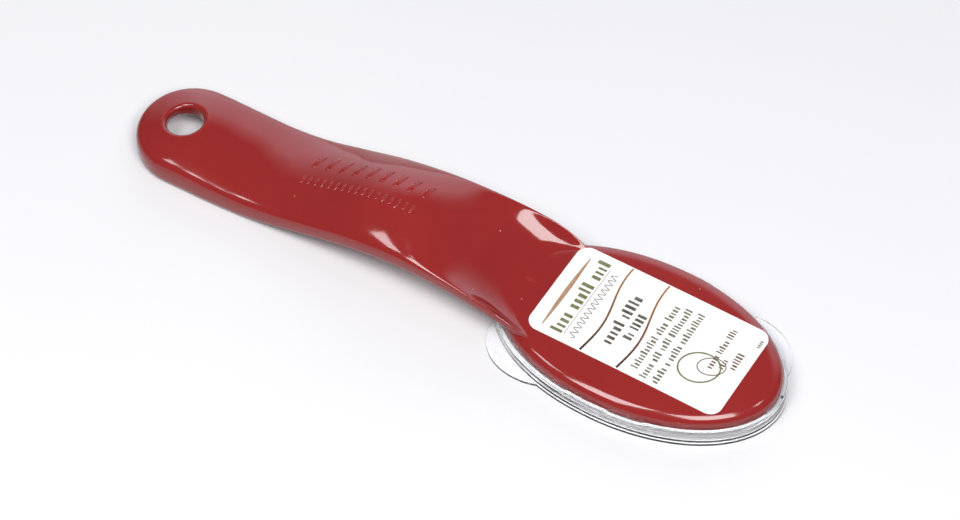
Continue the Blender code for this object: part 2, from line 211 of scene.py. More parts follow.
# Print, in millimetres of u and v. Rows of plain bars by ink: the row's foot, where it starts, the bars in
# each group, their height, and the seed of their widths.
BAR_PRINT = {
    "olive": [(-24.9, -17.2, (4, 5, 4), 4.7, 41)],
    "brown": [
        (27.0, -3.4, (5, 5, 4), 2.4, 11),
        (30.4, -1.6, (4,), 2.3, 12),
        (34.1, 0.2, (6,), 2.6, 13),
    ],
    "dark": [
        (-7.7, -12.6, (5, 5), 4.2, 21),
        (-2.6, -7.7, (2, 4), 3.4, 22),
    ],
    "grey": [
        (5.2, -16.6, (11, 4, 5), 2.8, 31),
        (9.6, -18.6, (5, 3, 4, 10), 2.7, 32),
        (14.2, -18.6, (5, 1, 5, 11), 2.7, 33),
        (36.8, 12.9, (4,), 1.6, 34),
    ],
}
BIG_RING = {"centre": (23.0, -5.0), "radii": (7.4, 6.2), "turn": 0.5}
SMALL_RING = {"centre": (26.5, -2.5), "radii": (5.0, 3.6), "turn": 0.5}
PRINT_RING_STEPS = 60
STROKE_START = -17.0
DIVIDERS = (-16.0, -1.4)
DIVIDER_MARGIN = 0.5
DIVIDER_WAVE = 1.4
DIVIDER_TURN = 0.9 * math.pi
DIVIDER_PHASE = 2.6
DIVIDER_LEAN = 0.02
DIVIDER_STEPS = 60

SHARP_ANGLE = math.radians(35)
HANDLE_PART, PADDLE_PART, CUT_PART, HOLE_PART = range(4)

# Camera, with its aim to the right of and above the frame's origin.
CAMERA_AZIMUTH = math.radians(29.8)
CAMERA_ELEVATION = math.radians(53.13)
CAMERA_DISTANCE = 1.4
CAMERA_LENS = 148.24
CAMERA_ROLL = math.radians(-0.115)
AIM_RIGHT = 8.9 * MM
AIM_UP = 2.0 * MM
SENSOR = 36.0

# Floor.
FLOOR_DROP = 0.05 * MM
FLOOR_REACH = 3.0
FLOOR_STEPS = 12

# Room: its glow, and a bright wall behind the object, which fades out between two angles from its middle and
# between two heights, as sines of the elevation.
ROOM_GLOW = (0.13, 0.13, 0.14)
BACKDROP_GLOW = (1.45, 1.45, 1.6)
BACKDROP_AZIMUTH = math.radians(196)
BACKDROP_WIDTH = (math.radians(20), math.radians(48))
BACKDROP_HEIGHT = (math.sin(math.radians(34)), math.sin(math.radians(51)))

# Lamps: name, azimuth and elevation in degrees, distance, size across and along, radiance.
SOFTBOXES = [
    ("right_softbox", 49, 58.5, 1.5, (0.7, 0.7), 12.0),
    ("front_softbox", 339, 62, 1.5, (0.44, 0.72), 12.0),
    ("left_softbox", 308, 53, 1.5, (0.28, 0.22), 10.0),
    ("tip_softbox", 109, 52, 1.5, (0.24, 0.16), 10.0),
]


# ---------------------------------------------------------------- mesh helpers


def put_in_scene(name, data, surface=None):
    """Object of that mesh at the datum."""
    thing = bpy.data.objects.new(name, data)
    thing.location = DATUM
    bpy.context.scene.collection.objects.link(thing)
    if surface:
        data.materials.append(surface)
    return thing


def finish_mesh(mesh, name, surface, weld=1e-6):
    """Object from a bmesh, welded, facing outwards and shaded smooth up to the sharp angle."""
    bmesh.ops.remove_doubles(mesh, verts=mesh.verts, dist=weld)
    bmesh.ops.dissolve_degenerate(mesh, edges=mesh.edges, dist=1e-7)
    bmesh.ops.recalc_face_normals(mesh, faces=mesh.faces)
    data = bpy.data.meshes.new(name)
    mesh.to_mesh(data)
    mesh.free()
    data.shade_smooth()
    data.set_sharp_from_angle(angle=SHARP_ANGLE)
    return put_in_scene(name, data, surface)


def add_loops(mesh, loops, closed=False):
    """Faces through loops of equal length. The two ends are filled, or joined when closed is set."""
    rows = [[mesh.verts.new(point) for point in loop] for loop in loops]
    pairs = list(zip(rows, rows[1:]))
    if closed:
        pairs.append((rows[-1], rows[0]))
    for low, high in pairs:
        for i in range(len(low)):
            j = (i + 1) % len(low)
            mesh.faces.new((low[i], low[j], high[j], high[i]))
    if not closed:
        mesh.faces.new(rows[0])
        mesh.faces.new(rows[-1])


def loft(name, loops, surface=None, closed=False):
    """Object with faces through loops of equal length."""
    mesh = bmesh.new()
    add_loops(mesh, loops, closed)
    return finish_mesh(mesh, name, surface)


def mark_part(thing, number):
    """Faces of one source shape carry its number as their material index through a Boolean."""
    while len(thing.data.materials) < HOLE_PART + 1:
        thing.data.materials.append(None)
    for face in thing.data.polygons:
        face.material_index = number


def combine(target, other, operation):
    step = target.modifiers.new(other.name, "BOOLEAN")
    step.operation = operation
    step.solver = "EXACT"
    step.object = other
    other.hide_render = True


def settle(thing):
    """Applies the modifiers and removes what they used."""
    used = [step.object for step in thing.modifiers if step.type == "BOOLEAN"]
    graph = bpy.context.evaluated_depsgraph_get()
    data = bpy.data.meshes.new_from_object(thing.evaluated_get(graph), depsgraph=graph)
    thing.modifiers.clear()
    thing.data = data
    for other in used:
        bpy.data.objects.remove(other, do_unlink=True)


# ---------------------------------------------------------------- shape functions, as in the CAD


def station_value(x, column):
    """Smooth curve through one column of the handle's stations, in metres."""
    rows = [(row[0] * MM, row[column] * MM) for row in STATIONS]
    x = min(max(x, rows[0][0]), rows[-1][0])
    k = max(i for i in range(len(rows) - 1) if rows[i][0] <= x)

    def slope(i):
        low, high = rows[max(i - 1, 0)], rows[min(i + 1, len(rows) - 1)]
        return (high[1] - low[1]) / (high[0] - low[0])

    (x0, y0), (x1, y1) = rows[k], rows[k + 1]
    span = x1 - x0
    t = (x - x0) / span
    return (
        y0 * (2 * t**3 - 3 * t**2 + 1)
        + y1 * (3 * t**2 - 2 * t**3)
        + span * slope(k) * (t**3 - 2 * t**2 + t)
        + span * slope(k + 1) * (t**3 - t**2)
    )


def handle_half_width(x):
    """Half width at x: the stations' curve, closed by a half circle at the handle's end."""
    width = station_value(x, WIDTH)
    back = HANDLE_END + END_RADIUS - x
    if back <= 0:
        return width
    return math.sqrt(max(END_RADIUS**2 - back**2, 0.0))


def across(y, half_span, power):
    """1 on the centre line, falling to 0 at half_span."""
    return 1 - min(abs(y) / half_span, 1.0) ** power


def handle_middle(x):
    return station_value(x, MIDDLE)


def handle_top(x, y):
    edge = handle_middle(x) + station_value(x, THICKNESS)
    power = station_value(x, SQUARENESS) / MM
    return edge + station_value(x, CROWN) * across(y, station_value(x, WIDTH), power)


def handle_bottom(x, y):
    edge_radius = station_value(x, THICKNESS)
    land = station_value(x, WIDTH) - edge_radius
    return handle_middle(x) - edge_radius - station_value(x, BULGE) * across(y, land, 2)


def head_top(x, y):
    fall = HEAD_CROWN_LONG * (x / HEAD_HALF_LENGTH) ** 2
    return HEAD_TOP - fall - HEAD_CROWN_WIDE * (y / HEAD_HALF_WIDTH) ** 2


def oval_point(degrees, inset=0.0):
    """Point of the paddle's outline, moved in along its normal."""
    c, s = math.cos(math.radians(degrees)), math.sin(math.radians(degrees))
    power = TIP_ROUNDNESS if c >= 0 else NECK_ROUNDNESS
    unit_x = math.copysign(abs(c) ** (2 / power), c)
    unit_y = math.copysign(abs(s) ** (2 / power), s)
    normal_x = math.copysign(abs(unit_x) ** (power - 1), c) / HEAD_HALF_LENGTH
    normal_y = math.copysign(abs(unit_y) ** (power - 1), s) / HEAD_HALF_WIDTH
    length = math.hypot(normal_x, normal_y)
    x = HEAD_HALF_LENGTH * unit_x - inset * normal_x / length
    y = HEAD_HALF_WIDTH * unit_y - inset * normal_y / length
    return x, y


def oval_ring(inset, z, steps=OVAL_STEPS):
    """Loop round the paddle. inset and z are lengths, or functions of the angle."""
    ring = []
    for i in range(steps):
        degrees = 360 * i / steps
        step_in = inset(degrees) if callable(inset) else inset
        level = z(degrees) if callable(z) else z
        ring.append((*oval_point(degrees, step_in), level))
    return ring


def quarter(steps):
    """Angles of a quarter turn, both ends included."""
    return [math.pi / 2 * i / steps for i in range(steps + 1)]


def across_steps(half, steps):
    """Evenly spaced places from +half down to -half."""
    return [half * (1 - 2 * i / steps) for i in range(steps + 1)]


# ---------------------------------------------------------------- handle and paddle


def handle_outline():
    """(x, half width, inward normal) from the handle's end to where it runs into the paddle."""
    centre = HANDLE_END + END_RADIUS
    points = []
    for a in quarter(END_STEPS)[:-1]:
        points.append((centre - END_RADIUS * math.cos(a), END_RADIUS * math.sin(a)))
    steps = round((HANDLE_INNER_END - centre) / HANDLE_PITCH)
    for i in range(steps + 1):
        x = centre + (HANDLE_INNER_END - centre) * i / steps
        points.append((x, handle_half_width(x)))
    outline = [(*points[0], 1.0, 0.0)]
    for before, (x, y), after in zip(points, points[1:], points[2:]):
        dx, dy = after[0] - before[0], after[1] - before[1]
        outline.append((x, y, dy / math.hypot(dx, dy), -dx / math.hypot(dx, dy)))
    outline.append((*points[-1], 0.0, -1.0))
    return outline


def handle_section(x, y, normal_x, normal_y):
    """One closed loop across the handle, with rolled sides."""
    radius = station_value(x, THICKNESS)
    turn = quarter(EDGE_STEPS)

    def side(sign, surface, angle):
        inset = radius * (1 - math.cos(angle) ** EDGE_SQUARENESS)
        px, py = x + normal_x * inset, max(y + normal_y * inset, 0.0)
        middle = handle_middle(px)
        return px, sign * py, middle + (surface(px, py) - middle) * math.sin(angle) ** EDGE_SQUARENESS

    def span(surface, start, end):
        points = []
        for i in range(1, ACROSS_STEPS):
            py = start[1] + (end[1] - start[1]) * i / ACROSS_STEPS
            points.append((start[0], py, surface(start[0], py)))
        return points

    top = [side(1, handle_top, a) for a in turn]
    top += span(handle_top, side(1, handle_top, turn[-1]), side(-1, handle_top, turn[-1]))
    top += [side(-1, handle_top, a) for a in reversed(turn)]
    low = [side(-1, handle_bottom, a) for a in turn[1:]]
    low += span(handle_bottom, side(-1, handle_bottom, turn[-1]), side(1, handle_bottom, turn[-1]))
    low += [side(1, handle_bottom, a) for a in reversed(turn[1:])]
    return top + low


def paddle_loops():
    """The paddle's outside: flat underneath, straight wall, round shoulder, slightly crowned top."""
    eased = 0.15 * HEAD_FOOT
    loops = [oval_ring(HEAD_FOOT, HEAD_BOTTOM), oval_ring(eased, HEAD_BOTTOM + eased)]
    loops += [oval_ring(0.0, HEAD_BOTTOM + HEAD_FOOT), oval_ring(0.0, HEAD_SHOULDER)]
    for angle in quarter(EDGE_STEPS + 2)[1:]:
        ring = oval_ring(HEAD_EDGE * (1 - math.cos(angle)), 0.0)
        loop = []
        for x, y, _ in ring:
            loop.append((x, y, HEAD_SHOULDER + (head_top(x, y) - HEAD_SHOULDER) * math.sin(angle)))
        loops.append(loop)
    shoulder = loops[-1]
    for scale in HEAD_TOP_RINGS:
        loops.append([(x * scale, y * scale, head_top(x * scale, y * scale)) for x, y, _ in shoulder])
    return loops


def inset_outline(start, end, inset):
    """(x, half width) of a pocket that follows the handle, with rounded ends."""
    rounds = quarter(POCKET_CAP_STEPS)[1:-1]
    straight = end - start - 2 * BACK_CAP
    steps = round(straight / POCKET_PITCH)
    xs = [start + BACK_CAP * (1 - math.cos(a)) for a in rounds]
    xs += [start + BACK_CAP + straight * i / steps for i in range(steps + 1)]
    xs += [end - BACK_CAP * (1 - math.cos(a)) for a in reversed(rounds)]
    points = []
    for x in xs:
        beyond = max(start + BACK_CAP - x, x - (end - BACK_CAP), 0.0) / BACK_CAP
        points.append((x, (handle_half_width(x) - inset) * math.sqrt(1 - beyond**2)))
    return points


def pocket_loops(outline, top, bottom):
    """Loops across a pocket between two surfaces."""
    loops = []
    for x, half in outline:
        ys = across_steps(half, POCKET_ACROSS_STEPS)
        loop = [(x, y, top(x, y)) for y in ys]
        loop += [(x, y, bottom(x, y)) for y in reversed(ys)]
        loops.append(loop)
    return loops


def hole_loops():
    """Spool that cuts the hanging hole: each end flares in a quarter round that follows the surface there."""

    def ring(radius, level):
        loop = []
        for i in range(HOLE_STEPS):
            a = 2 * math.pi * i / HOLE_STEPS
            x, y = HOLE_X + radius * math.cos(a), radius * math.sin(a)
            loop.append((x, y, level(x, y)))
        return loop

    def flare(surface, rim, sign):
        """Rings of one quarter round, from the surface into the bore."""
        rings = [ring(HOLE_RADIUS + rim, lambda x, y: surface(x, y) + sign * CUTTER_REACH)]
        for angle in reversed(quarter(EDGE_STEPS)):
            radius = HOLE_RADIUS + rim * (1 - math.cos(angle))
            drop = rim * (1 - math.sin(angle)) - HOLE_OVERSHOOT
            rings.append(ring(radius, lambda x, y: surface(x, y) - sign * drop))
        return rings

    return flare(handle_top, HOLE_RIM_TOP, 1) + flare(handle_bottom, HOLE_RIM_LOW, -1)[::-1]


def add_grip_bar(mesh, x, y, length, width):
    """One raised bar: a pill with a domed top, standing a little out of the grip and rooted in it."""
    c, s = math.cos(BAR_SLANT), math.sin(BAR_SLANT)
    straight = (length - width) / 2
    outline = []
    for end in (1, -1):
        for i in range(BAR_END_STEPS + 1):
            a = math.pi * i / BAR_END_STEPS
            outline.append((end * math.cos(a) * width / 2, end * (straight + math.sin(a) * width / 2)))
    loops = []
    for scale, rise in BAR_RINGS:
        loop = []
        for px, py in outline:
            off_x = px * scale
            off_y = py - math.copysign((1 - scale) * width / 2, py) if abs(py) > straight else py
            qx, qy = x + c * off_x - s * off_y, y + s * off_x + c * off_y
            loop.append((qx, qy, handle_top(qx, qy) + rise))
        loops.append(loop)
    add_loops(mesh, loops)


def add_grip_bars(mesh):
    """Both rows of bars, evenly spaced between each row's ends."""
    for row in BAR_ROWS:
        count = round((row["end"] - row["start"]) / row["pitch"])
        for i in range(count + 1):
            x = (row["start"] + (row["end"] - row["start"]) * i / count) * MM
            add_grip_bar(mesh, x, row["y"] * MM, row["length"] * MM, row["width"] * MM)


def sharpen_joins(data):
    """Marks the edges where two source shapes meet, so that each keeps its own smooth shading there."""
    mesh = bmesh.new()
    mesh.from_mesh(data)
    for edge in mesh.edges:
        parts = {face.material_index for face in edge.link_faces}
        if parts == {HANDLE_PART, HOLE_PART}:
            edge.smooth = True
        elif len(parts) > 1:
            edge.smooth = False
    for face in mesh.faces:
        face.material_index = 0
    mesh.to_mesh(data)
    mesh.free()


def body_cutters():
    """(name, loops, part number) of what is cut out of the body."""
    chamber = [oval_ring(HEAD_WALL, HEAD_BOTTOM - CUTTER_REACH), oval_ring(HEAD_WALL, HEAD_CEILING)]
    rebate = pocket_loops(
        inset_outline(BACK_START, BACK_END, BACK_INSET),
        lambda x, y: handle_bottom(x, y) + BACK_REBATE,
        lambda x, y: handle_bottom(x, y) - CUTTER_REACH,
    )
    hollow = pocket_loops(
        inset_outline(BACK_START + HOLLOW_LEDGE, BACK_END - HOLLOW_LEDGE, BACK_INSET + HOLLOW_LEDGE),
        lambda x, y: handle_top(x, y) - HANDLE_WALL,
        lambda x, y: handle_bottom(x, y) - HOLLOW_REACH,
    )
    return (
        ("chamber_cutter", chamber, CUT_PART),
        ("rebate_cutter", rebate, CUT_PART),
        ("hollow_cutter", hollow, CUT_PART),
        ("hang_hole_cutter", hole_loops(), HOLE_PART),
    )


def make_body(red):
    """Handle and paddle in one piece, hollow underneath, with the hanging hole and the grip bars."""
    body = loft("red_handle", [handle_section(*station) for station in handle_outline()])
    mark_part(body, HANDLE_PART)
    paddle = loft("paddle_blank", paddle_loops())
    mark_part(paddle, PADDLE_PART)
    combine(body, paddle, "UNION")

    for name, loops, part in body_cutters():
        cutter = loft(name, loops)
        mark_part(cutter, part)
        combine(body, cutter, "DIFFERENCE")
    settle(body)
    body.data.set_sharp_from_angle(angle=SHARP_ANGLE)
    sharpen_joins(body.data)

    mesh = bmesh.new()
    mesh.from_mesh(body.data)
    add_grip_bars(mesh)
    mesh.normal_update()
    mesh.to_mesh(body.data)
    mesh.free()
    for face in body.data.polygons:
        face.use_smooth = True
    body.data.materials.clear()
    body.data.materials.append(red)
    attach(body, "file")
    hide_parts("handle_body")


def make_handle_back(red):
    """Plate in the grip's underside, with its lower edge eased."""
    loops = []
    for x, half in inset_outline(BACK_START + BACK_GAP, BACK_END - BACK_GAP, BACK_INSET + BACK_GAP):
        ys = across_steps(half, BACK_ACROSS_STEPS)
        loop = [(x, y, handle_bottom(x, y) + BACK_THICKNESS) for y in ys]
        for y in reversed(ys):
            near_edge = max(abs(y) - (half - BACK_EDGE), 0.0) / BACK_EDGE
            loop.append((x, y, handle_bottom(x, y) + BACK_EDGE * near_edge**2))
        loops.append(loop)
    plate = loft("grip_back_plate", loops, red)
    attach(plate, "file")
    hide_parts("handle_back")


# ---------------------------------------------------------------- blade and its ring


def make_blade_ring(red):
    """Ring between the paddle's wall and the blade, stepped over the flange, with its lower edges eased."""
    outer, inner = HEAD_WALL + RING_GAP, BLADE_INSET - RING_GAP
    step = FLANGE_INSET - RING_GAP
    eased = 0.3 * RING_EASE
    profile = [
        (outer, RING_BOTTOM + RING_EASE),
        (outer, FLANGE_TOP),
        (step, FLANGE_TOP),
        (step, RING_STEP),
        (inner, RING_STEP),
        (inner, RING_BOTTOM + RING_EASE),
        (inner - eased, RING_BOTTOM + eased),
        (inner - RING_EASE, RING_BOTTOM),
        (outer + RING_EASE, RING_BOTTOM),
        (outer + eased, RING_BOTTOM + eased),
    ]
    ring = loft("blade_clamp_ring", [oval_ring(inset, z) for inset, z in profile], red, closed=True)
    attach(ring, "file")
    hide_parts("blade_ring")


def tooth_outline(x, y, grow):
    """D-shaped opening: straight on its cutting side, towards the tip, and round behind."""
    points = []
    for i in range(TOOTH_STEPS):
        a = 2 * math.pi * i / TOOTH_STEPS
        reach = TOOTH_LENGTH if math.cos(a) < 0 else TOOTH_FRONT
        points.append((x + (reach + grow) * math.cos(a), y + (TOOTH_WIDTH / 2 + grow) * math.sin(a)))
    return points


def tooth_places():
    """Centres of the openings: staggered rows that keep clear of the rolled edge."""
    room = BLADE_INSET + BLADE_SHEET + BLADE_EDGE + TOOTH_MARGIN
    half_x, half_y = HEAD_HALF_LENGTH - room, HEAD_HALF_WIDTH - room
    places = []
    rows = int(half_y / TOOTH_PITCH_WIDE)
    for row in range(-rows, rows + 1):
        shift = TOOTH_PITCH_LONG / 2 if row % 2 else 0.0
        columns = int(half_x / TOOTH_PITCH_LONG) + 1
        for column in range(-columns, columns + 1):
            x, y = column * TOOTH_PITCH_LONG + shift, row * TOOTH_PITCH_WIDE
            if math.hypot(x / half_x, y / half_y) <= 1:
                places.append((x, y))
    return places


def add_toothed_face(mesh, rim):
    """Flat face of the blade inside the rim's loop, with an opening and a lip at every tooth."""
    points = [Vector((x, y)) for x, y, _ in rim]
    levels = [BLADE_FACE] * len(points)
    loops = [list(range(len(points)))]
    places = tooth_places()
    for x, y in places:
        for grow, lip in ((TOOTH_COLLAR, 0.0), (0.0, TOOTH_LIP)):
            first = len(points)
            for px, py in tooth_outline(x, y, grow):
                points.append(Vector((px, py)))
                forward = max((px - x) / TOOTH_FRONT, 0.0)
                levels.append(BLADE_FACE - lip * min(forward, 1.0))
            loops.append(list(range(first, len(points))))
    edges = [(a, b) for loop in loops for a, b in zip(loop, loop[1:] + loop[:1])]
    found, _, faces, sources, _, _ = delaunay_2d_cdt(points, edges, [], 0, 1e-8)
    openings = loops[2::2]
    opening_of = {index: number for number, loop in enumerate(openings) for index in loop}
    verts = [mesh.verts.new((place.x, place.y, levels[source[0]])) for place, source in zip(found, sources)]
    for face in faces:
        owners = {opening_of.get(sources[index][0], -1) for index in face}
        if len(owners) == 1 and -1 not in owners:
            continue
        mesh.faces.new([verts[index] for index in face])


def make_blade(steel):
    """Pan of thin sheet: toothed face, rolled edge, upstanding wall and an outward flange at its top."""
    mesh = bmesh.new()
    face_inset = BLADE_INSET + BLADE_EDGE
    under_flange = FLANGE_TOP - BLADE_SHEET
    eased = 0.3 * BLADE_FOLD
    profile = []
    for a in quarter(BLADE_EDGE_STEPS):
        profile.append((face_inset - BLADE_EDGE * math.sin(a), BLADE_FACE + BLADE_EDGE * (1 - math.cos(a))))
    profile += [(BLADE_INSET, under_flange - BLADE_FOLD), (BLADE_INSET - eased, under_flange - eased)]
    profile += [(BLADE_INSET - BLADE_FOLD, under_flange), (FLANGE_INSET, under_flange)]
    rings = [oval_ring(inset, z) for inset, z in profile]
    rows = [[mesh.verts.new(point) for point in ring] for ring in rings]
    for low, high in zip(rows, rows[1:]):
        for i in range(len(low)):
            j = (i + 1) % len(low)
            mesh.faces.new((low[i], low[j], high[j], high[i]))
    add_toothed_face(mesh, rings[0])
    blade = finish_mesh(mesh, "rasp_sheet", steel)
    sheet = blade.modifiers.new("sheet", "SOLIDIFY")
    sheet.thickness = BLADE_SHEET
    sheet.offset = -1
    settle(blade)
    blade.data.set_sharp_from_angle(angle=SHARP_ANGLE)
    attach(blade, "file")
    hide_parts("rasp_blade")


# ---------------------------------------------------------------- cover


def smooth_step(t):
    t = min(max(t, 0.0), 1.0)
    return t * t * (3 - 2 * t)


def inside_arc(degrees, start, end, ramp):
    """1 well inside an arc, 0 outside it, with a smooth ramp at each end."""
    half = (end - start) / 2
    offset = abs((degrees - start - half + 180) % 360 - 180)
    return smooth_step((half + ramp / 2 - offset) / ramp)


def cover_wall_top(degrees):
    """Level of the wall's top, raised at the clips."""
    raised = max(inside_arc(degrees, start, end, CLIP_RAMP) for start, end in CLIP_ARCS)
    return COVER_WALL_TOP + (CLIP_TOP - COVER_WALL_TOP) * raised


def cover_rib(degrees):
    """How far in the wall's foot comes, with its ribs."""
    arcs = [(centre - RIB_HALF_ANGLE, centre + RIB_HALF_ANGLE) for centre in RIB_ANGLES]
    return RIB_DEPTH * max(inside_arc(degrees, *arc, RIB_RAMP) for arc in arcs) - COVER_WALL_INNER


def cover_flange(degrees):
    """The flange's reach, with the two finger tabs swelling out of it at opposite corners."""
    reach = COVER_FLANGE
    for centre in TAB_ANGLES:
        offset = ((degrees - centre + 180) % 360 - 180) / TAB_HALF_ANGLE
        if abs(offset) < 1:
            reach += TAB_REACH * math.cos(offset * math.pi / 2) ** 0.8
    return -reach


def make_cover(clear):
    """Loops run from the floor inside, over the wall and round the flange to the cover's underside."""
    ease = []
    for a in quarter(COVER_ROUND_STEPS):
        ease.append((COVER_ROUND * (1 - math.sin(a)), COVER_ROUND * (1 - math.cos(a))))
    profile = [(lambda d, k=k: cover_rib(d) + k[0], COVER_FLOOR + k[1]) for k in ease]
    profile += [(cover_rib, RIB_TOP)]
    profile += [(-COVER_WALL_INNER, RIB_TOP + RIB_EASE)]
    profile += [(-COVER_WALL_INNER - k[1], lambda d, k=k: cover_wall_top(d) - k[0]) for k in ease]
    profile += [(-COVER_WALL_OUTER + k[1], lambda d, k=k: cover_wall_top(d) - k[0]) for k in reversed(ease)]
    profile += [(-COVER_WALL_OUTER - k[1], COVER_FLOOR + k[0]) for k in ease]
    profile += [(lambda d, k=k: cover_flange(d) + k[0], COVER_FLOOR - k[1]) for k in ease]
    profile += [(lambda d, k=k: cover_flange(d) + k[0], k[1]) for k in reversed(ease)]
    loops = [oval_ring(inset, z, COVER_STEPS) for inset, z in profile]
    cover = loft("clear_cover_shell", loops, clear)
    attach(cover, "cover")
    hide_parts("protective_cover")


# ---------------------------------------------------------------- label and its print


def label_place(u, v):
    """Point of the paddle's top, from the datum, under the label's point (u, v)."""
    c, s = math.cos(LABEL_TURN), math.sin(LABEL_TURN)
    return LABEL_CENTRE[0] + c * u - s * v, LABEL_CENTRE[1] + s * u + c * v


def label_point(u, v, rise):
    x, y = label_place(u, v)
    return x, y, head_top(x, y) + LABEL_GAP + LABEL_THICKNESS + rise


def make_label(film):
    """Thin film with round corners, following the paddle's crown."""
    half_length, half_width = LABEL_LENGTH / 2, LABEL_WIDTH / 2
    corner = [LABEL_CORNER * (1 - math.cos(a)) for a in quarter(LABEL_CORNER_STEPS)]
    corner[0] = LABEL_END_STEP
    us = [-half_length + step for step in corner]
    straight = LABEL_LENGTH - 2 * LABEL_CORNER
    for i in range(1, LABEL_LONG_STEPS):
        us.append(-half_length + LABEL_CORNER + straight * i / LABEL_LONG_STEPS)
    us += [half_length - step for step in reversed(corner)]
    loops = []
    for u in us:
        beyond = max(abs(u) - (half_length - LABEL_CORNER), 0.0)
        half = half_width - LABEL_CORNER + math.sqrt(LABEL_CORNER**2 - beyond**2)
        vs = across_steps(half, LABEL_ACROSS_STEPS)
        loop = [label_point(u, v, 0.0) for v in vs]
        loop += [label_point(u, v, -LABEL_THICKNESS) for v in reversed(vs)]
        loops.append(loop)
    label = loft("label_sheet", loops, film)
    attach(label, "file")
    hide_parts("label")


def add_plate(mesh, outline):
    """Closed layer of ink over one outline, given in millimetres as (u, v) points."""
    top = [mesh.verts.new(label_point(u * MM, v * MM, INK_RISE)) for u, v in outline]
    low = [mesh.verts.new(label_point(u * MM, v * MM, -INK_DEPTH)) for u, v in outline]
    mesh.faces.new(top)
    mesh.faces.new(low[::-1])
    for i in range(len(top)):
        j = (i + 1) % len(top)
        mesh.faces.new((top[i], low[i], low[j], top[j]))


def add_stroke(mesh, path, width):
    """Line of ink along path, as one closed strip. width is a function of how far along it is."""
    last = len(path) - 1
    loops = []
    for i, (u, v) in enumerate(path):
        before, after = path[max(i - 1, 0)], path[min(i + 1, last)]
        du, dv = after[0] - before[0], after[1] - before[1]
        half = width(i / last) / 2 / math.hypot(du, dv)
        left, right = (u - dv * half, v + du * half), (u + dv * half, v - du * half)
        corners = ((left, INK_RISE), (right, INK_RISE), (right, -INK_DEPTH), (left, -INK_DEPTH))
        loops.append([label_point(p * MM, q * MM, rise) for (p, q), rise in corners])
    add_loops(mesh, loops)


def add_words(mesh, u, start, words, height, seed):
    """A row of thin bars in groups, as plain print: u is its foot, and it runs towards +v."""
    rng = random.Random(seed)
    v = start
    for count in words:
        for _ in range(count):
            width = height * rng.uniform(0.2, 0.36)
            tall = height * (1.0 if rng.random() < 0.35 else 0.7)
            add_plate(mesh, [(u, v), (u - tall, v), (u - tall, v + width), (u, v + width)])
            v += width + 0.24 * height
        v += 0.4 * height


def ring_path(centre, radii, turn):
    """Turned ellipse, as a path that ends where it starts."""
    path = []
    for i in range(PRINT_RING_STEPS + 1):
        a = 2 * math.pi * i / PRINT_RING_STEPS
        p, q = radii[0] * math.cos(a), radii[1] * math.sin(a)
        u = centre[0] + p * math.cos(turn) - q * math.sin(turn)
        v = centre[1] + p * math.sin(turn) + q * math.cos(turn)
        path.append((u, v))
    return path


def cross_path(u, length, steps, wave=0.0, pitch=0.0):
    """Line across the label, straight or waved."""
    return [(u + wave * math.sin(i * pitch), STROKE_START + length * i / steps) for i in range(steps + 1)]


def divider_path(u):
    """Gently curved line over the label's whole width."""
    half = LABEL_WIDTH / MM / 2 - DIVIDER_MARGIN
    path = []
    for i in range(DIVIDER_STEPS + 1):
        v = half * (2 * i / DIVIDER_STEPS - 1)
        bend = DIVIDER_WAVE * math.sin(DIVIDER_TURN * v / half + DIVIDER_PHASE)
        path.append((u + bend - DIVIDER_LEAN * v, v))
    return path


def print_bars(mesh, ink_name):
    for row in BAR_PRINT[ink_name]:
        add_words(mesh, *row)


def print_olive(mesh):
    print_bars(mesh, "olive")
    add_stroke(mesh, ring_path(**BIG_RING), lambda t: 0.62)


def print_tan(mesh):
    """Tapered sweep at the head of the label."""
    add_stroke(mesh, cross_path(-32.6, 33.0, 40), lambda t: 0.35 + 1.3 * math.sin(math.pi * t))


def print_dividers(mesh):
    for u in DIVIDERS:
        add_stroke(mesh, divider_path(u), lambda t: 0.85 - 0.2 * t)


def print_brown(mesh):
    add_stroke(mesh, ring_path(**SMALL_RING), lambda t: 0.4)
    print_bars(mesh, "brown")


def print_dark(mesh):
    """Two rows of bars, a thin rule and a waved line."""
    print_bars(mesh, "dark")
    add_stroke(mesh, cross_path(-24.0, 32.0, 20), lambda t: 0.16)
    add_stroke(mesh, cross_path(-21.2, 31.0, 150, wave=1.25, pitch=0.55), lambda t: 0.28)


def print_grey(mesh):
    print_bars(mesh, "grey")


def make_print(name, draw, ink):
    mesh = bmesh.new()
    draw(mesh)
    marks = finish_mesh(mesh, name, ink, weld=1e-8)
    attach(marks, "file")


# ---------------------------------------------------------------- materials


def new_node(tree, kind, inputs=None, **settings):
    node = tree.nodes.new(kind)
    for name, value in (inputs or {}).items():
        node.inputs[name].default_value = value
    for name, value in settings.items():
        setattr(node, name, value)
    return node


def object_coords(tree, stretch=(1, 1, 1)):
    """Coordinates in the piece's own metres, stretched along the axes."""
    place = new_node(tree, "ShaderNodeTexCoord")
    mapping = new_node(tree, "ShaderNodeMapping", {"Scale": stretch})
    tree.links.new(place.outputs["Object"], mapping.inputs["Vector"])
    return mapping.outputs["Vector"]


def noise(tree, scale, detail=3.0, stretch=(1, 1, 1)):
    node = new_node(tree, "ShaderNodeTexNoise", {"Scale": scale, "Detail": detail, "Roughness": 0.55})
    tree.links.new(object_coords(tree, stretch), node.inputs["Vector"])
    return node.outputs["Fac"]


def spread(tree, source, low, high, start=0.35, end=0.65):
    """Maps source from start..end to low..high."""
    limits = {"From Min": start, "From Max": end, "To Min": low, "To Max": high}
    node = new_node(tree, "ShaderNodeMapRange", limits)
    tree.links.new(source, node.inputs["Value"])
    return node.outputs["Result"]


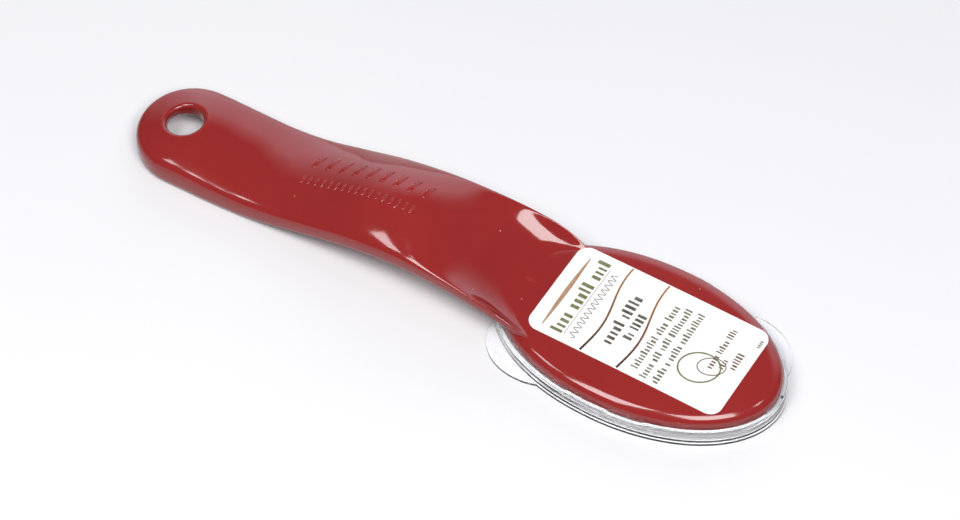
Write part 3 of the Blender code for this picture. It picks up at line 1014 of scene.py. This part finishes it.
def blend_colours(tree, factor, first, second):
    node = new_node(tree, "ShaderNodeMix", data_type="RGBA")
    for socket, value in ((node.inputs[6], first), (node.inputs[7], second)):
        if isinstance(value, tuple):
            socket.default_value = (*value, 1.0)
        else:
            tree.links.new(value, socket)
    tree.links.new(factor, node.inputs[0])
    return node.outputs[2]


def combine_values(tree, first, second, operation="ADD"):
    node = new_node(tree, "ShaderNodeMath", operation=operation)
    for socket, value in ((node.inputs[0], first), (node.inputs[1], second)):
        if isinstance(value, (int, float)):
            socket.default_value = value
        else:
            tree.links.new(value, socket)
    return node.outputs["Value"]


def bump(tree, shader, height, strength, distance):
    node = new_node(tree, "ShaderNodeBump", {"Strength": strength, "Distance": distance})
    tree.links.new(height, node.inputs["Height"])
    tree.links.new(node.outputs["Normal"], shader.inputs["Normal"])


def specks(tree, scale, size, share):
    """1 on a few tiny scattered grains and 0 elsewhere."""
    cells = new_node(tree, "ShaderNodeTexVoronoi", {"Scale": scale, "Randomness": 1.0})
    tree.links.new(object_coords(tree), cells.inputs["Vector"])
    grain = combine_values(tree, cells.outputs["Distance"], size, "LESS_THAN")
    parts = new_node(tree, "ShaderNodeSeparateColor")
    tree.links.new(cells.outputs["Color"], parts.inputs["Color"])
    chosen = combine_values(tree, parts.outputs["Red"], share, "LESS_THAN")
    return combine_values(tree, grain, chosen, "MULTIPLY")


def new_material(name, **uniform):
    """Node material whose uniform values go straight on the shader's sockets."""
    made = bpy.data.materials.new(name)
    made.use_nodes = True
    shader = made.node_tree.nodes["Principled BSDF"]
    for key, value in uniform.items():
        shader.inputs[key.replace("_", " ")].default_value = value
    return made, made.node_tree, shader


def red_plastic(name, deep, light, gloss, dull, peel):
    """Moulded plastic: slightly uneven colour, a painted highlight along sharp edges, handling marks in the
    gloss, a faint peel, and fine dust.
    """
    made, tree, shader = new_material(name, IOR=1.52, Specular_IOR_Level=0.5)
    clouds = spread(tree, noise(tree, 28, 4), 0.0, 1.0)
    body = blend_colours(tree, clouds, deep, light)
    # Painted highlight: sharp convex edges are lightened towards a paler red, as if the gloss caught the
    # light there.
    edges = new_node(tree, "ShaderNodeNewGeometry").outputs["Pointiness"]
    edge_highlight_and_ink_wear = spread(tree, edges, 0.0, 0.3, 0.52, 0.6)
    colour_with_edge_highlight = blend_colours(tree, edge_highlight_and_ink_wear, body, tuple(min(1.0, 1.6 * part) for part in light))
    dust = specks(tree, 210, 0.045, 0.16)
    tree.links.new(blend_colours(tree, dust, colour_with_edge_highlight, (0.62, 0.4, 0.4)), shader.inputs["Base Color"])
    smears = spread(tree, noise(tree, 55, 5, (0.5, 1.4, 1)), gloss, dull)
    hairlines = spread(tree, noise(tree, 900, 2, (0.06, 1, 1)), 0.0, 0.05, 0.55, 0.75)
    dusty = combine_values(tree, dust, 0.3, "MULTIPLY")
    rough = combine_values(tree, combine_values(tree, smears, hairlines), dusty)
    tree.links.new(rough, shader.inputs["Roughness"])
    fine = combine_values(tree, noise(tree, 1400, 2), 0.15, "MULTIPLY")
    ripple = combine_values(tree, noise(tree, 150, 2), fine)
    bump(tree, shader, ripple, peel, 0.0002)
    return made


def label_film():
    """Semi-matte printed film: nearly white, with a fine grain and slightly greyer smudges."""
    made, tree, shader = new_material("label_film", IOR=1.46)
    smudge = spread(tree, noise(tree, 45, 4), 0.0, 1.0, 0.4, 0.7)
    tint = blend_colours(tree, smudge, (0.74, 0.735, 0.715), (0.7, 0.695, 0.67))
    fibre = spread(tree, noise(tree, 2600, 2), 0.0, 0.25)
    tree.links.new(blend_colours(tree, fibre, tint, (0.66, 0.65, 0.62)), shader.inputs["Base Color"])
    tree.links.new(spread(tree, noise(tree, 120, 4), 0.38, 0.52), shader.inputs["Roughness"])
    bump(tree, shader, noise(tree, 1800, 2), 0.12, 0.00005)
    return made


def ink(name, colour):
    """Printed ink: its density varies a little, as on film."""
    made, tree, shader = new_material(name, IOR=1.46)
    thin = spread(tree, noise(tree, 700, 3), 0.0, 0.35)
    paler = tuple(part + (0.75 - part) * 0.3 for part in colour)
    tree.links.new(blend_colours(tree, thin, colour, paler), shader.inputs["Base Color"])
    tree.links.new(spread(tree, noise(tree, 300, 3), 0.34, 0.5), shader.inputs["Roughness"])
    bump(tree, shader, noise(tree, 2200, 2), 0.1, 0.00004)
    return made


def divider_ink():
    """Printed ink that runs from dark brown at the label's -Y side to orange brown at its +Y side."""
    made, tree, shader = new_material("ink_divider", IOR=1.46)
    parts = new_node(tree, "ShaderNodeSeparateXYZ")
    tree.links.new(object_coords(tree), parts.inputs["Vector"])
    along = spread(tree, parts.outputs["Y"], 0.0, 1.0, -16 * MM, 20 * MM)
    edge_highlight_and_ink_wear = combine_values(tree, along, spread(tree, noise(tree, 500, 3), -0.08, 0.08))
    tone = blend_colours(tree, edge_highlight_and_ink_wear, (0.035, 0.012, 0.01), (0.3, 0.125, 0.04))
    tree.links.new(tone, shader.inputs["Base Color"])
    tree.links.new(spread(tree, noise(tree, 300, 3), 0.34, 0.5), shader.inputs["Roughness"])
    bump(tree, shader, noise(tree, 2200, 2), 0.1, 0.00004)
    return made


def clear_plastic():
    """Clear moulded plastic, polished, with faint scuffs and flow ripples."""
    made, tree, shader = new_material(
        "clear_cover", IOR=1.5, Transmission_Weight=1.0, Base_Color=(0.97, 0.975, 0.98, 1.0)
    )
    scuffs = spread(tree, noise(tree, 320, 5, (0.4, 1.5, 1)), 0.0, 0.12, 0.55, 0.8)
    haze = spread(tree, noise(tree, 40, 4), 0.02, 0.07)
    tree.links.new(combine_values(tree, scuffs, haze), shader.inputs["Roughness"])
    bump(tree, shader, noise(tree, 190, 3), 0.12, 0.0002)

    output = tree.nodes["Material Output"]
    path = new_node(tree, "ShaderNodeLightPath")
    passing = new_node(tree, "ShaderNodeBsdfTransparent", {"Color": (0.55, 0.55, 0.555, 1.0)})
    either = new_node(tree, "ShaderNodeMixShader")
    tree.links.new(path.outputs["Is Shadow Ray"], either.inputs[0])
    tree.links.new(shader.outputs["BSDF"], either.inputs[1])
    tree.links.new(passing.outputs["BSDF"], either.inputs[2])
    tree.links.new(either.outputs["Shader"], output.inputs["Surface"])
    return made


def etched_steel():
    """Rolled stainless sheet: a fine grain along the blade, and duller stains from the etching."""
    made, tree, shader = new_material("rasp_steel", Metallic=1.0)
    grain = noise(tree, 1500, 3, (0.05, 1, 1))
    stains = spread(tree, noise(tree, 70, 5), 0.0, 1.0)
    tone = blend_colours(tree, stains, (0.66, 0.665, 0.67), (0.5, 0.5, 0.49))
    streaked = blend_colours(tree, spread(tree, grain, 0.0, 0.5), tone, (0.78, 0.78, 0.78))
    tree.links.new(streaked, shader.inputs["Base Color"])
    duller = combine_values(tree, stains, 0.08, "MULTIPLY")
    rough = combine_values(tree, spread(tree, grain, 0.2, 0.34), duller)
    tree.links.new(rough, shader.inputs["Roughness"])
    bump(tree, shader, grain, 0.25, 0.00005)
    return made


def floor_surface():
    """Matt pale floor, very slightly mottled."""
    made, tree, shader = new_material("studio_floor", Specular_IOR_Level=0.2)
    mottle = spread(tree, noise(tree, 3, 3), 0.0, 1.0)
    tone = blend_colours(tree, mottle, (0.655, 0.655, 0.67), (0.665, 0.665, 0.675))
    tree.links.new(tone, shader.inputs["Base Color"])
    tree.links.new(spread(tree, noise(tree, 40, 3), 0.65, 0.8), shader.inputs["Roughness"])
    return made


# ---------------------------------------------------------------- studio


def view_axes():
    """Right, up and back of the camera."""
    a, e = CAMERA_AZIMUTH, CAMERA_ELEVATION
    back = Vector((math.sin(a) * math.cos(e), -math.cos(a) * math.cos(e), math.sin(e)))
    level = Vector((math.cos(a), math.sin(a), 0.0))
    upright = back.cross(level)
    right = math.cos(CAMERA_ROLL) * level + math.sin(CAMERA_ROLL) * upright
    up = math.cos(CAMERA_ROLL) * upright - math.sin(CAMERA_ROLL) * level
    return right, up, back


def make_camera():
    right, up, back = view_axes()
    data = bpy.data.cameras.new("camera")
    data.lens = CAMERA_LENS
    data.sensor_width = SENSOR
    camera = bpy.data.objects.new("camera", data)
    place = right * AIM_RIGHT + up * AIM_UP + back * CAMERA_DISTANCE
    camera.matrix_world = Matrix.Translation(place) @ Matrix((right, up, back)).transposed().to_4x4()
    bpy.context.scene.collection.objects.link(camera)
    bpy.context.scene.camera = camera


def make_floor():
    """Wide flat floor."""
    mesh = bmesh.new()
    places = across_steps(FLOOR_REACH, FLOOR_STEPS)[::-1]
    grid = [[mesh.verts.new((x, y, -FLOOR_DROP)) for y in places] for x in places]
    for low, high in zip(grid, grid[1:]):
        for j in range(FLOOR_STEPS):
            mesh.faces.new((low[j], high[j], high[j + 1], low[j + 1]))
    data = bpy.data.meshes.new("studio_floor")
    mesh.to_mesh(data)
    mesh.free()
    data.materials.append(floor_surface())
    floor = bpy.data.objects.new("studio_floor", data)
    bpy.context.scene.collection.objects.link(floor)


def make_softbox(name, azimuth, elevation, distance, size, power):
    """Soft rectangular lamp that faces the object. Azimuth turns as the camera's does."""
    a, e = math.radians(azimuth), math.radians(elevation)
    towards = Vector((math.sin(a) * math.cos(e), -math.cos(a) * math.cos(e), math.sin(e)))
    data = bpy.data.lights.new(name, "AREA")
    data.shape = "RECTANGLE"
    data.size, data.size_y = size
    data.energy = power
    lamp = bpy.data.objects.new(name, data)
    lamp.location = towards * distance
    lamp.rotation_euler = towards.to_track_quat("Z", "Y").to_euler()
    bpy.context.scene.collection.objects.link(lamp)


def lit_backdrop(tree):
    """How much a direction looks at the bright wall behind the object: 1 on the wall and 0 off it."""
    look = new_node(tree, "ShaderNodeTexCoord").outputs["Generated"]
    parts = new_node(tree, "ShaderNodeSeparateXYZ")
    tree.links.new(look, parts.inputs["Vector"])

    def along(east, north):
        """The direction's share along one level direction."""
        first = combine_values(tree, parts.outputs["X"], east, "MULTIPLY")
        second = combine_values(tree, parts.outputs["Y"], north, "MULTIPLY")
        return combine_values(tree, first, second)

    ahead = along(math.sin(BACKDROP_AZIMUTH), -math.cos(BACKDROP_AZIMUTH))
    aside = along(math.cos(BACKDROP_AZIMUTH), math.sin(BACKDROP_AZIMUTH))
    turn = combine_values(tree, aside, ahead, "ARCTAN2")
    width = spread(tree, combine_values(tree, turn, 0.0, "ABSOLUTE"), 1.0, 0.0, *BACKDROP_WIDTH)
    height = spread(tree, parts.outputs["Z"], 1.0, 0.0, *BACKDROP_HEIGHT)
    return combine_values(tree, width, height, "MULTIPLY")


def make_studio():
    world = bpy.data.worlds.new("studio")
    world.use_nodes = True
    bpy.context.scene.world = world
    tree = world.node_tree
    glow = blend_colours(tree, lit_backdrop(tree), ROOM_GLOW, BACKDROP_GLOW)
    tree.links.new(glow, tree.nodes["Background"].inputs["Color"])
    for name, azimuth, elevation, distance, size, radiance in SOFTBOXES:
        make_softbox(name, azimuth, elevation, distance, size, radiance * math.pi * size[0] * size[1])


# ---------------------------------------------------------------- build


def make_pieces():
    make_body(red_plastic("red_body", (0.222, 0.0145, 0.0138), (0.24, 0.017, 0.0163), 0.06, 0.12, 0.04))
    make_handle_back(red_plastic("red_back", (0.21, 0.0145, 0.0138), (0.23, 0.017, 0.016), 0.2, 0.3, 0.12))
    make_blade_ring(red_plastic("red_ring", (0.205, 0.014, 0.013), (0.225, 0.017, 0.016), 0.28, 0.4, 0.2))
    make_blade(etched_steel())
    make_cover(clear_plastic())
    make_label(label_film())
    make_print("print_olive", print_olive, ink("ink_olive", (0.11, 0.115, 0.03)))
    make_print("print_tan", print_tan, ink("ink_tan", (0.3, 0.17, 0.085)))
    make_print("print_dividers", print_dividers, divider_ink())
    make_print("print_brown", print_brown, ink("ink_brown", (0.1, 0.05, 0.028)))
    make_print("print_dark", print_dark, ink("ink_dark", (0.05, 0.042, 0.028)))
    make_print("print_grey", print_grey, ink("ink_grey", (0.1, 0.1, 0.06)))


bpy.context.scene.view_settings.view_transform = "Standard"
make_pieces()
make_camera()
make_floor()
make_studio()
